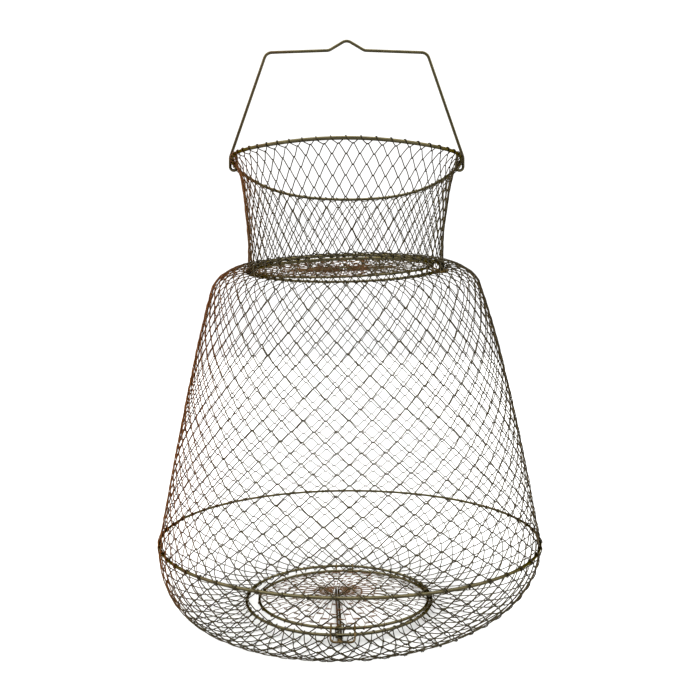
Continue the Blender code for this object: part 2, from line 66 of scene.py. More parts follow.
weave = {                       # the woven wire of the walls, and of the flat nets in the lid and the door
    "meshes": 56, "flatMeshes": 28, "wire": 0.82 * mm, "flatWire": 0.64 * mm, "sides": 6,
    "neckRows": 10, "sideRows": 34, "baseRows": 15, "lidRows": 7, "doorRows": 7,
    "shortRow": 4.2 * mm,       # the dense row next to the rim and on both sides of the neck hoop
    "swing": (0.45 * mm, 0.4 * mm),     # how far a leg lies out of its net: walls, flat nets
    "jitter": (0.16 * mm, 0.12 * mm),   # how far a bend may be out of place: walls, flat nets
    "heldJitter": 0.4,          # the share of that which a bend on a hoop has
    "wallWave": (0.0, 0.12 * mm),       # how high the walls' bends stand, and how unevenly
    "flatWave": (0.3 * mm, 0.22 * mm),  # the same for the flat nets
    "corner": 1.0 * mm,         # length of leg that a bend takes up
    "cornerShare": 0.3,         # and the most that it takes of a short leg
    "broad": 0.54,              # how much of a mesh the flat nets' round bends take up
    "bow": 0.16 * mm,           # how far a leg bulges out between two bends
    "bowSpread": 0.35,          # how unevenly it does
    "bowSlip": 0.12 * mm,       # how far the bulge may be from the middle of the leg
    "hookRun": 0.62 * mm,       # how far a hook runs along its hoop while it goes round
    "hookShare": 0.42,          # and the most that it runs, as a share of half a mesh
    "gap": 0.05 * mm,           # between a bend and the hoop or collar that it goes round
}

gather = {                      # the long bends at the middle of a flat net, drawn in through their collar
    "lengths": (4.8 * mm, 7.2 * mm, 8.8 * mm),  # how far they reach in past the collar, by turns
    "curls": (1.4 * mm, -0.5 * mm, 2.6 * mm),   # how far their tips stand up, by turns
    "lengthSpread": 0.05, "curlSpread": (0.3, 1.6),
    "lean": 0.9 * mm,           # how far a tip leans aside
    "half": 0.6 * mm,           # half the width of a bend where it is widest
    "form": ((-0.25, 0.75, 1.0), (0.0, 1.0, 0.8), (0.4, 0.95, 0.75), (0.8, 0.6, 0.6), (1.0, 0.0, 0.0)),
    # along a bend, from the net to its tip: share of its length, of its height over the collar, of its width
    "flatBeside": 0.6,          # bends less than this far round from the latch's ends don't curl
}

clear = {       # where hooks leave room on a hoop: degrees round it, and the room on each side
    "neck": ((180.0, 7.0), (6.0, 1.8), (-6.0, 1.8)),    # the spring with its two links, the lid's stop loop
    "bottom": ((93.0, 2.1), (81.3, 2.1), (-88.6, 3.0), (-93.7, 2.1), (-80.6, 2.1)),     # links, latch, stop
    "lid": ((184.0, 2.0),),     # the spring's leg
    "door": ((-92.0, 3.2),),    # the latch's guide loop
}


# Geometry shared by all pieces

def share(value, low, high):
    return np.clip((value - low) / (high - low), 0.0, 1.0)


def cageShift(height):          # sideways settling of the cage at a height
    below = cage["bottomShift"] * (1 - share(height, cage["bottomHeight"], cage["bellyHeight"])) ** 2
    middle = cage["neckShift"] * share(height, cage["bellyHeight"], cage["neckHeight"]) ** 2
    above = (cage["rimShift"] - cage["neckShift"]) * share(height, cage["neckHeight"], cage["rimHeight"])
    return below + middle + above


def onCage(radius, height, angle):      # a point of the cage, moved as its hoops lean and settle
    radius, height, angle = np.broadcast_arrays(radius, height, angle)
    toRim = share(height, cage["neckHeight"], cage["rimHeight"])
    lean = share(height, cage["bellyHeight"], cage["neckHeight"]) - toRim
    x, y = radius * np.cos(angle), radius * np.sin(angle)
    rise = cage["rimSideRise"] * np.cos(angle) ** 4 * toRim ** 2
    z = height + rise + lean * (cage["neckTilt"] * x - cage["neckLean"] * y)
    return np.stack([x + cageShift(height), y, z], axis=-1)


def smoothThrough(points, steps):       # a smooth curve through a few points
    points = [np.array(p, float) for p in points]
    ends = [2 * points[0] - points[1]] + points + [2 * points[-1] - points[-2]]
    curve = []
    for before, start, end, after in zip(ends, ends[1:], ends[2:], ends[3:]):
        for t in np.arange(steps) / steps:
            curve.append(0.5 * (2 * start + (end - before) * t
                                + (2 * before - 5 * start + 4 * end - after) * t ** 2
                                + (3 * start - before - 3 * end + after) * t ** 3))
    curve.append(points[-1])
    return np.array(curve)


def neckOutline():              # shares of the way out and up, from the neck hoop to the rim
    flare = ((1, 1), (0.65, 0.93), (0.41, 0.8), (0.16, 0.52), (0.02, 0.3), (0, 0))
    r0, z0 = cage["neckRadius"], cage["neckHeight"]
    return smoothThrough([(r0 + u * (cage["rimRadius"] - r0), z0 + v * (cage["rimHeight"] - z0))
                          for u, v in flare], 8)


def sideOutline():              # shares of the way out from the neck hoop, and up from the belly hoop
    shoulder = ((0, 1), (0.14, 1), (0.27, 0.98), (0.37, 0.95), (0.424, 0.905), (0.584, 0.703), (0.79, 0.379),
                (1, 0))
    r0, z0 = cage["neckRadius"], cage["bellyHeight"]
    return smoothThrough([(r0 + u * (cage["bellyRadius"] - r0), z0 + v * (cage["neckHeight"] - z0))
                          for u, v in shoulder], 8)


def baseOutline():              # radius and height in mm, from the belly hoop in to the bottom hoop
    bowl = ((165.0, 65.2), (164.9, 57.5), (163.2, 48.5), (160.0, 39.5), (154.6, 29.5), (146.2, 19.5),
            (136.0, 11.4), (124.0, 5.3), (111.0, 1.9), (100.0, 1.4), (92.0, 1.4), (87.0, 1.9))
    end = (cage["bottomRadius"], cage["bottomHeight"])
    return smoothThrough([(r * mm, z * mm) for r, z in bowl] + [end], 6)


def cageSurface(outline):
    # A wall. Its places are given by the distance down the wall, the angle round it and the height out of it
    steps = np.diff(outline, axis=0)
    marks = np.concatenate([[0], np.cumsum(np.hypot(steps[:, 0], steps[:, 1]))])
    along = np.gradient(outline, marks, axis=0)
    along /= np.hypot(along[:, 0], along[:, 1])[:, None]

    def place(down, angle, out):
        radius, height = (np.interp(down, marks, outline[:, k]) for k in (0, 1))
        alongR, alongZ = (np.interp(down, marks, along[:, k]) for k in (0, 1))
        before, after = np.minimum(down, 0), np.maximum(down - marks[-1], 0)
        extra = before + after          # hooks reach a little past both hoops
        return onCage(radius + extra * alongR - out * alongZ, height + extra * alongZ + out * alongR, angle)

    return {"place": place, "length": marks[-1], "wire": weave["wire"], "broad": 0.0,
            "lift": weave["wallWave"], "swing": weave["swing"][0], "jitter": weave["jitter"][0],
            "radius": lambda down: float(np.interp(down, marks, outline[:, 0]))}


def discSurface(placeRing, ringRadius, middle, innerRadius):
    # A flat net drawn in from a ring to a collar, which may be off the ring's middle
    length = ringRadius - innerRadius

    def place(down, angle, out):
        part = np.minimum(down / length, 1.0)
        radius = ringRadius - down
        x = middle[0] * part + radius * np.cos(angle)
        y = middle[1] * part + radius * np.sin(angle)
        local = np.stack(np.broadcast_arrays(x, y, out), axis=-1)
        return local @ placeRing[:3, :3].T + placeRing[:3, 3]

    return {"place": place, "length": length, "wire": weave["flatWire"], "broad": weave["broad"],
            "lift": weave["flatWave"], "swing": weave["swing"][1], "jitter": weave["jitter"][1],
            "radius": lambda down: ringRadius - down}


def grip(radius, wire, clearPlaces=()):         # a hoop or collar that holds the bends at the edge of a net
    return {"radius": radius, "wire": wire, "clear": np.radians(clearPlaces)}


def ringMarks(surface, rows, meshes, first=0.0, last=0.0):
    # Where each ring of bends lies: legs are equally long, apart from a short row at an end that has one
    half = pi / meshes
    goal = surface["length"] - last
    leastFall = 0.2             # how much of a leg's length leads down the net, at the least
    low, high = 4 * mm, 30 * mm         # a leg is between these

    def march(leg):
        marks = [first]
        for row in range(rows):
            down = marks[-1]
            for again in range(3):
                wide = half * surface["radius"]((marks[-1] + down) / 2)
                down = marks[-1] + math.sqrt(max(leg ** 2 - wide ** 2, (leastFall * leg) ** 2))
            marks.append(down)
        return marks

    for again in range(40):     # halve the range until the rows fill the wall
        leg = (low + high) / 2
        if march(leg)[-1] > goal:
            high = leg
        else:
            low = leg
    return ([0.0] if first else []) + march(leg) + ([surface["length"]] if last else [])


def wallAngle(count):           # the angle of a bend of the walls, counted in meshes from the right side
    angle = 2 * pi * count / weave["meshes"]
    return angle + pi / weave["meshes"] * np.cos(angle) ** 2    # no bend sits in a bail eye


def flatAngle(count):           # the same for the lid's and the door's net, whose bends miss links and stops
    return 2 * pi * count / weave["flatMeshes"]


def parted(angle, clearPlaces):         # bends on a hoop, pushed aside where another piece crosses it
    for place, room in clearPlaces:
        off = (angle - place + pi) % (2 * pi) - pi
        angle = np.where(np.abs(off) < room, angle - off + np.where(off < 0, -room, room), angle)
    return angle


def zigzag(surface, tops, bottoms, topHold, bottomHold, noise):
    # One row of the net, as one closed wire. Its upper bends hook into the row above or over a hoop,
    # its lower ones into the row below or under a hoop. Legs that fall to the right lie outside.
    half = surface["wire"] / 2
    (topDown, topAngle, topLift), (bottomDown, bottomAngle, bottomLift) = tops, bottoms
    nextTop = np.append(topAngle[1:], topAngle[0] + 2 * pi)
    lastBottom = np.append(bottomAngle[-1] - 2 * pi, bottomAngle[:-1])
    rise = bottomDown - topDown
    wide = (bottomAngle - topAngle) * surface["radius"](float(np.mean(topDown + bottomDown)) / 2)
    cut = np.minimum(weave["corner"] / np.hypot(rise, wide), weave["cornerShare"])
    reach = half + 0.5 * cut * rise         # a rounded bend stops short of its corner
    topCorner, bottomCorner = topDown - reach, bottomDown + reach

    def freeBend(down, angle, lift, before, after, side):
        def toward(end, along, across, layer):
            return (down + along * (end[0] - down), angle + across * (end[1] - angle),
                    lift + layer * side * surface["swing"])

        if surface["broad"]:        # a broad round bend: such bends line up as arcs across the net
            broad = surface["broad"]
            return [toward(before, cut, broad, 1), toward(before, 0.3 * cut, 0.75 * broad, 0.7),
                    toward(before, 0, 0, 0), toward(after, 0.3 * cut, 0.75 * broad, -0.7),
                    toward(after, cut, broad, -1)]
        first, last = toward(before, cut, cut, 1), toward(after, cut, cut, -1)
        middle = ((first[0] + 2 * down + last[0]) / 4, (first[1] + 2 * angle + last[1]) / 4, lift)
        return [first, middle, last]

    def hookBend(angle, side, hold):        # upper bends go over the hoop, lower ones under it
        wheel = hold["wire"] / 2 + half + weave["gap"]
        run = min(weave["hookRun"], weave["hookShare"] * float(np.mean(wide)))
        edge = 0.0 if side < 0 else surface["length"]
        return [(edge + side * wheel * math.sin(turn) + 0 * angle,
                 angle + run * (2 * turn / pi - 1) / hold["radius"],
                 side * wheel * math.cos(turn) + 0 * angle) for turn in np.linspace(0, pi, 7)]

    def petalBend(angle, hold):     # a long loose bend, out over the collar and back underneath
        count = len(angle)
        kind = np.arange(count) % len(gather["lengths"])
        length = np.choose(kind, gather["lengths"]) * noise.normal(1.0, gather["lengthSpread"], count)
        curl = np.choose(kind, gather["curls"]) * noise.uniform(*gather["curlSpread"], count)
        lean = noise.normal(0, gather["lean"], count)
        if "slot" in hold:          # room from the middle of the gather towards one side
            off = (angle - hold["slot"]["angle"] + pi) % (2 * pi) - pi
            narrow, far = hold["slot"]["half"], hold["slot"]["reach"]
            towards = np.abs(off) < pi / 2
            room = np.where(towards, np.clip(narrow / np.maximum(np.abs(np.sin(off)), 0.05), 0, far), narrow)
            length = np.minimum(length, hold["radius"] - room)
            curl = np.where(np.abs(off) < gather["flatBeside"], 0.0, curl)
            lean = np.where(towards, 0.0, lean)
        apart = hold["wire"] / 2 + half + weave["gap"]
        out, back = [], []
        for part, rise, width in gather["form"]:
            inside = max(part, 0)       # how far past the collar
            down = surface["length"] + part * length
            aside = angle + lean * inside ** 2 / hold["radius"]
            spread = width * gather["half"] / (hold["radius"] - inside * length)
            out.append((down, aside - spread, curl * inside ** 2 + rise * apart))
            back.append((down, aside + spread, curl * inside ** 2 - rise * apart))
        return out + back[-2::-1]

    def bend(down, angle, lift, before, after, side, hold):
        if hold is None:
            return freeBend(down, angle, lift, before, after, side)
        return petalBend(angle, hold) if "gather" in hold else hookBend(angle, side, hold)

    top = bend(topCorner, topAngle, topLift, (np.roll(bottomCorner, 1), lastBottom),
               (bottomCorner, bottomAngle), -1, topHold)
    bottom = bend(bottomCorner, bottomAngle, bottomLift, (topCorner, topAngle),
                  (np.roll(topCorner, -1), nextTop), 1, bottomHold)

    def bowed(start, end):
        swell = weave["bow"] * noise.normal(1.0, weave["bowSpread"], len(topDown))
        slip = noise.normal(0, weave["bowSlip"], len(topDown))
        return [((start[0] + end[0]) / 2 + slip, (start[1] + end[1]) / 2, (start[2] + end[2]) / 2 + swell)]

    ahead = tuple(np.append(part[1:], part[0] + turn) for part, turn in zip(top[0], (0, 2 * pi, 0)))
    columns = top + bowed(top[-1], bottom[0]) + bottom + bowed(bottom[-1], ahead)
    down, angle, out = (np.stack([c[k] for c in columns], axis=1).ravel() for k in range(3))
    return surface["place"](down, angle, out)


def weaveNet(surface, marks, angleOf, meshes, firstRing, topHold, bottomHold, seed):
    # All rows of one net, from its upper hoop to its lower one. Odd rings of bends lie half a mesh on
    noise = np.random.default_rng(seed)
    last = len(marks) - 1
    rings = []
    for ring, mark in enumerate(marks):
        hold = {0: topHold, last: bottomHold}.get(ring)
        radius = surface["radius"](mark)
        stray = surface["jitter"] * (1.0 if hold is None else weave["heldJitter"])
        stray = min(stray, 0.1 * 2 * pi * radius / meshes)      # at most a tenth of a mesh
        angle = angleOf(np.arange(meshes) + 0.5 * ((ring + firstRing) % 2))
        angle = angle + noise.normal(0, stray, meshes) / radius
        if hold is not None:
            angle = parted(angle, hold["clear"])
        middle, spread = surface["lift"]
        lift = np.clip(noise.normal(middle, spread, meshes), middle - spread, middle + 2 * spread)
        rings.append((mark + noise.normal(0, stray, meshes), angle, lift))
    rows = []
    for row in range(last):
        bottomDown, bottomAngle, bottomLift = rings[row + 1]
        if (row + firstRing) % 2:           # from an odd ring, the bend that follows is the next one's
            bottomDown, bottomLift = np.roll(bottomDown, -1), np.roll(bottomLift, -1)
            bottomAngle = np.append(bottomAngle[1:], bottomAngle[0] + 2 * pi)
        rows.append(zigzag(surface, rings[row], (bottomDown, bottomAngle, bottomLift),
                           topHold if row == 0 else None, bottomHold if row == last - 1 else None, noise))
    return rows


# Meshes from wires

def wireMesh(name, paths, wire, closed=True, sides=8, tips=None):
    # A round tube along each path, carried along without twist, and closed ends where the path is open
    points, faces = [], []
    for path in paths:
        path = np.asarray(path, float)
        count = len(path)
        if closed:
            ahead, behind = np.roll(path, -1, axis=0), np.roll(path, 1, axis=0)
        else:
            ahead, behind = np.vstack([path[1:], path[-1:]]), np.vstack([path[:1], path[:-1]])
        heading = ahead - behind
        heading /= np.linalg.norm(heading, axis=1)[:, None]
        headings = [Vector(h) for h in heading]
        side = headings[0].orthogonal().normalized()
        across = [side]
        for before, after in zip(headings, headings[1:]):
            side = before.rotation_difference(after) @ side
            across.append(side)
        across = np.array(across)
        over = np.cross(heading, across)
        slip = np.zeros(count)
        if closed:                          # spread the leftover twist along the wire
            back = headings[-1].rotation_difference(headings[0]) @ Vector(across[-1])
            left = math.atan2(float(np.dot(back, over[0])), float(np.dot(back, across[0])))
            slip = -left * np.arange(count) / count
        turn = 2 * pi * np.arange(sides)[None, :] / sides + slip[:, None]
        radius = np.full(count, wire / 2)
        if tips is not None and not closed:
            radius[0] = radius[-1] = tips * wire / 2
        ring = (path[:, None, :] + radius[:, None, None] * (np.cos(turn)[..., None] * across[:, None, :]
                                                          + np.sin(turn)[..., None] * over[:, None, :]))
        start = sum(len(p) for p in points)
        points.append(ring.reshape(-1, 3))
        here = np.arange(count if closed else count - 1)
        there = (here + 1) % count
        k = np.arange(sides)
        n = (k + 1) % sides
        quad = np.stack([here[:, None] * sides + k, here[:, None] * sides + n,
                         there[:, None] * sides + n, there[:, None] * sides + k], axis=-1)
        faces += (quad.reshape(-1, 4) + start).tolist()
        if not closed:
            faces.append((start + k[::-1]).tolist())
            faces.append((start + (count - 1) * sides + k).tolist())
    mesh = bpy.data.meshes.new(name)
    mesh.from_pydata(np.concatenate(points).tolist(), [], faces)
    mesh.shade_smooth()
    if not closed:
        mesh.set_sharp_from_angle(angle=math.radians(50))       # the cut ends stay crisp
    return mesh


def addPiece(name, mesh, material, body, nodes):      # rides on its body, in place of the CAD nodes
    piece = bpy.data.objects.new(name, mesh)
    bpy.context.scene.collection.objects.link(piece)
    mesh.materials.append(material)
    if body is not None:
        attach(piece, body)
    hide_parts(*nodes)
    return piece


def addWire(name, paths, wire, material, body, slot, **form):       # in place of the node of the same name
    return addPiece(name, wireMesh(name, paths, wire, **form), material, body, [name])


def rounded(corners, radius, steps=8):      # a path through corners, with an arc in place of each inner one
    most = 0.45                 # of a side, taken up by the arc at its end
    corners = [Vector(c) for c in corners]
    path = [corners[0]]
    for before, corner, after in zip(corners, corners[1:], corners[2:]):
        back, ahead = (before - corner).normalized(), (after - corner).normalized()
        half = back.angle(ahead) / 2
        cut = min(radius / math.tan(half), most * (before - corner).length, most * (after - corner).length)
        bend = cut * math.tan(half)
        middle = corner + (back + ahead).normalized() * bend / math.sin(half)
        first, last = corner + back * cut - middle, corner + ahead * cut - middle
        for step in range(steps + 1):
            path.append(middle + first.slerp(last, step / steps).normalized() * bend)
    path.append(corners[-1])
    return path


def evenly(path, spacing, closed=False):    # the same path with points at an even spacing
    path = np.array([list(p) for p in path])
    if closed:
        path = np.vstack([path, path[:1]])
    marks = np.concatenate([[0], np.cumsum(np.linalg.norm(np.diff(path, axis=0), axis=1))])
    count = max(8, int(round(marks[-1] / spacing)))
    places = np.linspace(0, marks[-1], count + 1)
    places = places[:-1] if closed else places
    return np.stack([np.interp(places, marks, path[:, k]) for k in range(3)], axis=1)


# Materials

def hexColour(text):            # an sRGB hex value as linear colour
    values = [int(text[k:k + 2], 16) / 255 for k in (1, 3, 5)]
    return tuple(v / 12.92 if v <= 0.04045 else ((v + 0.055) / 1.055) ** 2.4 for v in values) + (1.0,)


def addNode(tree, kind, settings=(), links=()):
    node = tree.nodes.new(kind)
    for key, value in dict(settings).items():
        if isinstance(key, int) or key in node.inputs:
            node.inputs[key].default_value = value
        else:
            setattr(node, key, value)
    for key, socket in dict(links).items():
        tree.links.new(socket, node.inputs[key])
    return node


def newMaterial(name):
    material = bpy.data.materials.new(name)
    material.use_nodes = True
    tree = material.node_tree
    tree.nodes.clear()
    shader = addNode(tree, "ShaderNodeBsdfPrincipled")
    addNode(tree, "ShaderNodeOutputMaterial", (), {"Surface": shader.outputs[0]})
    return material, tree, shader


wear = {                        # how plating and tarnish lie on the wire
    "speckShare": 0.45,         # how much the fine specks add to the patches
    "bare": 0.5, "full": 0.95,  # where the plating begins and is whole, in the sum of both patterns
    "taper": 1.9,               # how fast the cage draws in towards the top, per metre
    "flank": 0.65,              # the middle's colour ends at this share of the way out to the flanks
    "bump": 0.25, "bumpDepth": 0.05 * mm,
}


def wireMaterial(name, spec):
    # Drawn and plated steel wire: bright plating on top of darker tarnish, which sits in patches and specks.
    # The tarnish has a colour for each flank of the cage and one for its middle
    material, tree, shader = newMaterial(name)
    place = addNode(tree, "ShaderNodeTexCoord").outputs["Object"]
    patches = addNode(tree, "ShaderNodeTexNoise",
                      {"Scale": 1 / spec["patch"], "Detail": 4.0, "Roughness": 0.6}, {"Vector": place})
    specks = addNode(tree, "ShaderNodeTexNoise",
                     {"Scale": 1 / spec["speck"], "Detail": 2.0, "Roughness": 0.55}, {"Vector": place})
    blend = addNode(tree, "ShaderNodeMath", {"operation": "MULTIPLY_ADD", 1: wear["speckShare"]},
                    {0: specks.outputs[0], 2: patches.outputs[0]})
    worn = addNode(tree, "ShaderNodeMapRange",
                   {"From Min": wear["bare"], "From Max": wear["full"], "To Max": spec["cover"]},
                   {"Value": blend.outputs[0]})

    sides = addNode(tree, "ShaderNodeSeparateXYZ", (), {0: place})
    taper = addNode(tree, "ShaderNodeMath", {"operation": "MULTIPLY_ADD", 1: wear["taper"], 2: 1.0},
                    {0: sides.outputs[2]})
    across = addNode(tree, "ShaderNodeMath", {"operation": "MULTIPLY"},
                     {0: sides.outputs[0], 1: taper.outputs[0]}).outputs[0]
    far, near = spec["reach"], wear["flank"] * spec["reach"]
    soft = {"interpolation_type": "SMOOTHSTEP"}
    toMiddle = addNode(tree, "ShaderNodeMapRange", {"From Min": -far, "From Max": -near, **soft},
                       {"Value": across})
    toRight = addNode(tree, "ShaderNodeMapRange", {"From Min": near, "From Max": far, **soft},
                      {"Value": across})
    leftHalf = addNode(tree, "ShaderNodeMix",
                       {"data_type": "RGBA", 6: hexColour(spec["left"]), 7: hexColour(spec["middle"])},
                       {"Factor": toMiddle.outputs[0]})
    tarnish = addNode(tree, "ShaderNodeMix", {"data_type": "RGBA", 7: hexColour(spec["right"])},
                      {"Factor": toRight.outputs[0], 6: leftHalf.outputs[2]})

    colour = addNode(tree, "ShaderNodeMix", {"data_type": "RGBA", 7: hexColour(spec["plating"])},
                     {"Factor": worn.outputs[0], 6: tarnish.outputs[2]})
    dull, polished = spec["rough"][1], spec["rough"][0]
    rough = addNode(tree, "ShaderNodeMapRange",
                    {"From Max": spec["cover"], "To Min": dull, "To Max": polished},
                    {"Value": worn.outputs[0]})
    bump = addNode(tree, "ShaderNodeBump", {"Strength": wear["bump"], "Distance": wear["bumpDepth"]},
                   {"Height": specks.outputs[0]})
    tree.links.new(colour.outputs[2], shader.inputs["Base Color"])
    tree.links.new(rough.outputs[0], shader.inputs["Roughness"])
    tree.links.new(bump.outputs[0], shader.inputs["Normal"])
    shader.inputs["Metallic"].default_value = spec["metallic"]
    shader.inputs["Specular Tint"].default_value = hexColour(spec["edge"])
    return material


# Brass-plated steel wire, drawn and bent cold, dulled by handling: dark olive with a thin bright line on top
brassFinish = {"left": "#3E3326", "middle": "#363325", "right": "#363325", "plating": "#4C4632",
               "edge": "#A8A490", "metallic": 1.0, "cover": 1.0, "rough": (0.1, 0.2), "patch": 9 * mm,
               "speck": 0.7 * mm, "reach": 0.12}
# Thin plated wire of springs, links, stops and latch, drawn and bent cold: duller and browner from wear
springFinish = {"left": "#33291B", "middle": "#35291A", "right": "#35291A", "plating": "#4C4029",
                "edge": "#A8A490", "metallic": 1.0, "cover": 1.0, "rough": (0.2, 0.34), "patch": 5 * mm,
                "speck": 0.6 * mm, "reach": 0.12}
# Woven steel wire, thinly plated: dull and dark, rust-brown at the left, olive in the middle, brown right
meshFinish = {"left": "#46280F", "middle": "#2E2A1E", "right": "#30291C", "plating": "#4A412E",
              "edge": "#6A6248", "metallic": 0.85, "cover": 0.2, "rough": (0.34, 0.55), "patch": 14 * mm,
              "speck": 0.8 * mm, "reach": 0.172}
# The same wire drawn in to the collars, where rubbing has left it a warmer brown
gatherFinish = {"left": "#3E2C1C", "middle": "#4A3220", "right": "#352C1E", "plating": "#5E4E34",
                "edge": "#8C8878", "metallic": 0.85, "cover": 0.35, "rough": (0.34, 0.55), "patch": 3 * mm,
                "speck": 0.8 * mm, "reach": 0.03}

brassWire = wireMaterial("brassPlatedWire", brassFinish)
springWire = wireMaterial("springWire", springFinish)
wovenWire = wireMaterial("wovenWire", meshFinish)
gatheredWire = wireMaterial("gatheredWire", gatherFinish)
print("materials made")


# The hoops

def addHoop(name, radius, height, wire, body):
    angle = 2 * pi * np.arange(cage["points"]) / cage["points"]
    addWire(name, [onCage(radius, height, angle)], wire, brassWire, body, "brass_wire", sides=12)


addHoop("rim_hoop", cage["rimRadius"], cage["rimHeight"], cage["rimWire"], "rim")
addHoop("neck_hoop", cage["neckRadius"], cage["neckHeight"], cage["hoopWire"], "neck")
addHoop("belly_hoop", cage["bellyRadius"], cage["bellyHeight"], cage["hoopWire"], "base")
addHoop("bottom_hoop", cage["bottomRadius"], cage["bottomHeight"], cage["hoopWire"], "base")
print("hoops made")


# The woven walls, row by row from the rim to the bottom hoop

neck, side, base = (cageSurface(o) for o in (neckOutline(), sideOutline(), baseOutline()))
rimGrip = grip(cage["rimRadius"], cage["rimWire"])
neckGrip = grip(cage["neckRadius"], cage["hoopWire"], clear["neck"])
bellyGrip = grip(cage["bellyRadius"], cage["hoopWire"])
bottomGrip = grip(cage["bottomRadius"], cage["hoopWire"], clear["bottom"])

meshes, shortRow = weave["meshes"], weave["shortRow"]
neckMarks = ringMarks(neck, weave["neckRows"], meshes, shortRow, shortRow)
sideMarks = ringMarks(side, weave["sideRows"], meshes, shortRow)
baseMarks = ringMarks(base, weave["baseRows"], meshes)
neckRings = len(neckMarks) - 1
sideRings = neckRings + len(sideMarks) - 1
neckRows = weaveNet(neck, neckMarks, wallAngle, meshes, 0, rimGrip, neckGrip, 11)
sideRows = weaveNet(side, sideMarks, wallAngle, meshes, neckRings, neckGrip, bellyGrip, 12)
baseRows = weaveNet(base, baseMarks, wallAngle, meshes, sideRings, bellyGrip, bottomGrip, 13)

neckNet = addWire("neck_net", neckRows, weave["wire"], wovenWire, None, "woven_wire", sides=weave["sides"])
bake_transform(neckNet)
sideNet = addWire("side_net", sideRows, weave["wire"], wovenWire, "base", "woven_wire", sides=weave["sides"])
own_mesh(sideNet)
addWire("base_net", baseRows, weave["wire"], wovenWire, "base", "woven_wire", sides=weave["sides"])
print("walls woven:", len(neckRows) + len(sideRows) + len(baseRows), "rows")


# The bail: one wire, with an eye bent round the rim at each end

bail = {"wire": 2.6 * mm, "rise": 121.0 * mm, "topHalf": 72.5 * mm, "shoulderDrop": 2 * mm,
        "shoulderBend": 7.0 * mm, "peakHalf": 16.0 * mm, "peakRise": 9.6 * mm, "pointGap": 1.2 * mm,
        "eyePlay": 0.5 * mm, "eyeDrop": 2.7 * mm, "eyeTail": 9.4 * mm, "tailLean": 1.2 * mm,
        "eyeRise": 6 * mm}          # where the leg leaves its eye, over the rim


def bailPath():
    sideX, sideZ = cage["rimRadius"], cage["rimHeight"] + cage["rimSideRise"]
    beside = cage["rimWire"] / 2 + bail["eyePlay"] + bail["wire"] / 2
    top = cage["rimHeight"] + bail["rise"]
    bar = top - bail["peakRise"]
    half = [Vector((sideX - beside + bail["tailLean"], 0, sideZ + bail["eyeTail"]))]
    for turn in np.linspace(pi, 2 * pi, 17):
        half.append(Vector((sideX + beside * math.cos(turn), 0,
                            sideZ - bail["eyeDrop"] + beside * math.sin(turn))))
    half += rounded([half[-1], (sideX + beside, 0, sideZ + bail["eyeRise"]),
                     (bail["topHalf"], 0, bar - bail["shoulderDrop"]), (bail["peakHalf"], 0, bar),
                     (0, 0, top), (-bail["peakHalf"], 0, bar)], bail["shoulderBend"], 6)[1:-1]
    peak = max(range(len(half)), key=lambda k: half[k].z)
    half = half[:peak + 1]
    path = half + [Vector((-p.x, p.y, p.z)) for p in half[::-1] if p.x > 1e-6]
    return [Vector((p.x + cage["rimShift"], p.y, p.z)) for p in path]


addWire("bail_handle", [evenly(bailPath(), bail["pointGap"])], bail["wire"], brassWire, "bail", "brass_wire",
        closed=False, sides=12, tips=0.8)
print("bail made")


# Parts that the lid and the door share

fittings = {"link": 1.2 * mm, "linkPlay": 0.6 * mm, "linkStep": pi / weave["flatMeshes"],
            "stop": 1.6 * mm, "stopBend": 3 * mm, "hookPlay": 0.4 * mm, "hookTurn": math.radians(240),
            "collarRadius": 11.4 * mm, "collarWire": 1.2 * mm, "fit": 0.3 * mm, "pointGap": 0.5 * mm}


def ringPath(place, middle, radius, count=cage["points"]):
    angle = 2 * pi * np.arange(count) / count
    x, y = middle[0] + radius * np.cos(angle), middle[1] + radius * np.sin(angle)
    local = np.stack([x, y, 0 * angle], axis=1)
    matrix = np.array(place)
    return local @ matrix[:3, :3].T + matrix[:3, 3]


def linkPath(first, second, across):        # a long closed link round two wires
    radius = cage["hoopWire"] / 2 + fittings["linkPlay"] + fittings["link"] / 2
    along = (second - first).normalized()
    sideways = across.cross(along).normalized()
    path = []
    for middle, start in ((second, 0.0), (first, pi)):
        for turn in np.linspace(start - pi / 2, start + pi / 2, 15):
            path.append(middle + (along * math.cos(turn) + sideways * math.sin(turn)) * radius)
    return evenly(path, fittings["pointGap"], closed=True)


def stopPath(feet, out, up, path, turnFrom):        # a U of wire whose feet are hooked round a ring
    hook = cage["hoopWire"] / 2 + fittings["hookPlay"] + fittings["stop"] / 2
    legs = []
    for foot in feet:
        leg = []
        for step in range(17):
            turn = turnFrom * (pi / 2 + fittings["hookTurn"] * (1 - step / 16))
            leg.append(foot + (out * math.cos(turn) + up * math.sin(turn)) * hook)
        corners = [leg[-1]] + [foot + out * a + up * b for a, b in path]
        legs.append((leg[:-1], corners))
    (firstHook, first), (lastHook, last) = legs
    return evenly(firstHook + rounded(first + last[::-1], fittings["stopBend"]) + lastHook[::-1], 0.6 * mm)


def addStop(name, path, body):
    addWire(name, [path], fittings["stop"], springWire, body, "spring_wire", closed=False, sides=10,
            tips=0.8)


def addCollar(name, place, middle, body):
    path = ringPath(place, middle, fittings["collarRadius"], 64)
    addWire(name, [path], fittings["collarWire"], brassWire, body, "brass_wire", sides=10)


def weaveDisc(placeRing, radius, middle, rows, clearPlaces, slot, seed):        # the lid's or the door's net
    surface = discSurface(np.array(placeRing), radius, middle, fittings["collarRadius"])
    collar = {**grip(fittings["collarRadius"], fittings["collarWire"]), "gather": True, **slot}
    marks = ringMarks(surface, rows, weave["flatMeshes"])
    ring = grip(radius, cage["hoopWire"], clearPlaces)
    return weaveNet(surface, marks, flatAngle, weave["flatMeshes"], 0, ring, collar, seed)


# The lid in the neck

